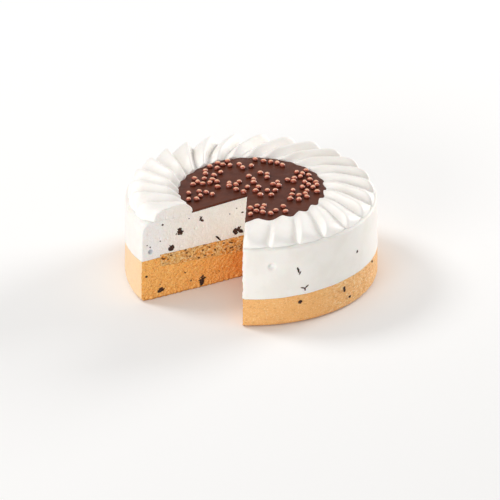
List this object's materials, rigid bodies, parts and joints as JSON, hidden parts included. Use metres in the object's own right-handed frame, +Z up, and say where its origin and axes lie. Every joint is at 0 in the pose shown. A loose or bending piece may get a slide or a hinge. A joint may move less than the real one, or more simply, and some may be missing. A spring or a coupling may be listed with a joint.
{
  "type": "ice cream cake",
  "caption": "Round layered ice cream cake with one slice cut out, a piped cream ring, and a chocolate glaze with crunchy pearls.",
  "frame": {"origin": "centre of the round base, on the surface that the cake stands on", "axes": "+Z up; -Y towards the viewer of the picture; +X to the viewer's right; the missing slice lies between azimuths 209.5 and 268 degrees from +X"},
  "size_m": [0.1798, 0.1796, 0.0696],
  "materials": {
    "caramel": "matte, softly granular",
    "sponge": "matte, porous crumb",
    "vanilla": "matte, finely pitted",
    "cream": "satin, smooth",
    "chocolate": "satin",
    "pearl": "semi-gloss caramel-chocolate",
    "chip": "matte dark chocolate"
  },
  "bodies": {
    "root": {"caramel_layer": "caramel", "sponge_disc": "sponge", "vanilla_layer": "vanilla", "cream_ring": "cream", "chocolate_glaze": "chocolate"}
  },
  "joints": []
}
